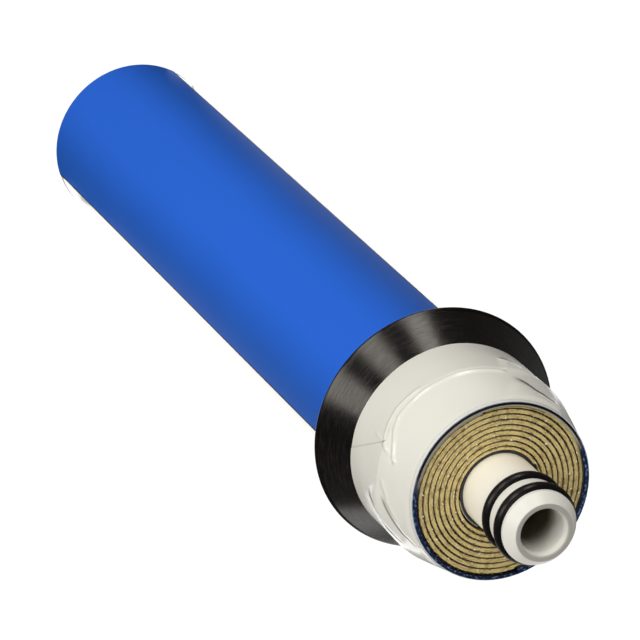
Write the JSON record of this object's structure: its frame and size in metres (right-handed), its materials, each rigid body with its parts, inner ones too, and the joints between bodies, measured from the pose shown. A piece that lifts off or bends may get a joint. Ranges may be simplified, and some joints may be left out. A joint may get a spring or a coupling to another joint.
{
  "type": "ro membrane element",
  "caption": "Spiral-wound reverse-osmosis cylinder in white tape and blue film, with a flared rubber seal and a grooved O-ring nose; filters water inside a pressure housing.",
  "frame": {"origin": "centre of the plain end's face, on the element's axis, where it stands", "axes": "+Z along the axis from the plain end to the nose; -Y through the middle of the blue film; +X completes a right-handed frame"},
  "size_m": [0.0614, 0.0614, 0.2786],
  "materials": {
    "tube_plastic": "moulded off-white plastic, faint flow marks",
    "plug_plastic": "moulded off-white plastic",
    "o_ring_rubber": "smooth black rubber",
    "knit": "knitted grey plastic yarn",
    "membrane": "thin cream sheet, cut edge",
    "spacer_net": "extruded plastic net, cut edge",
    "carrier": "tan knit stiffened with glue at its edges",
    "glue": "hard amber glue",
    "sleeve_tape": "thin grey tape",
    "tail_net": "net seen through dark film",
    "film": "thin dark blue film",
    "white_tape": "glossy white plastic tape",
    "label": "smooth blue plastic film, no print",
    "seal_rubber": "black moulded rubber with a slight sheen"
  },
  "bodies": {
    "root": {"body_tape": "white_tape", "brine_seal": "seal_rubber", "collar_tape": "white_tape", "core_knit": "knit", "feed_spacer": "spacer_net", "film_wrap": "film", "front_o_ring": "o_ring_rubber", "label_film": "label", "membrane_leaf": "membrane", "permeate_carrier": "carrier", "permeate_tube": "tube_plastic", "rear_o_ring": "o_ring_rubber", "seal_tape": "white_tape", "sleeve_tape": "sleeve_tape", "tail_glue": "glue", "tail_net": "tail_net", "tube_plug": "plug_plastic"}
  },
  "joints": []
}
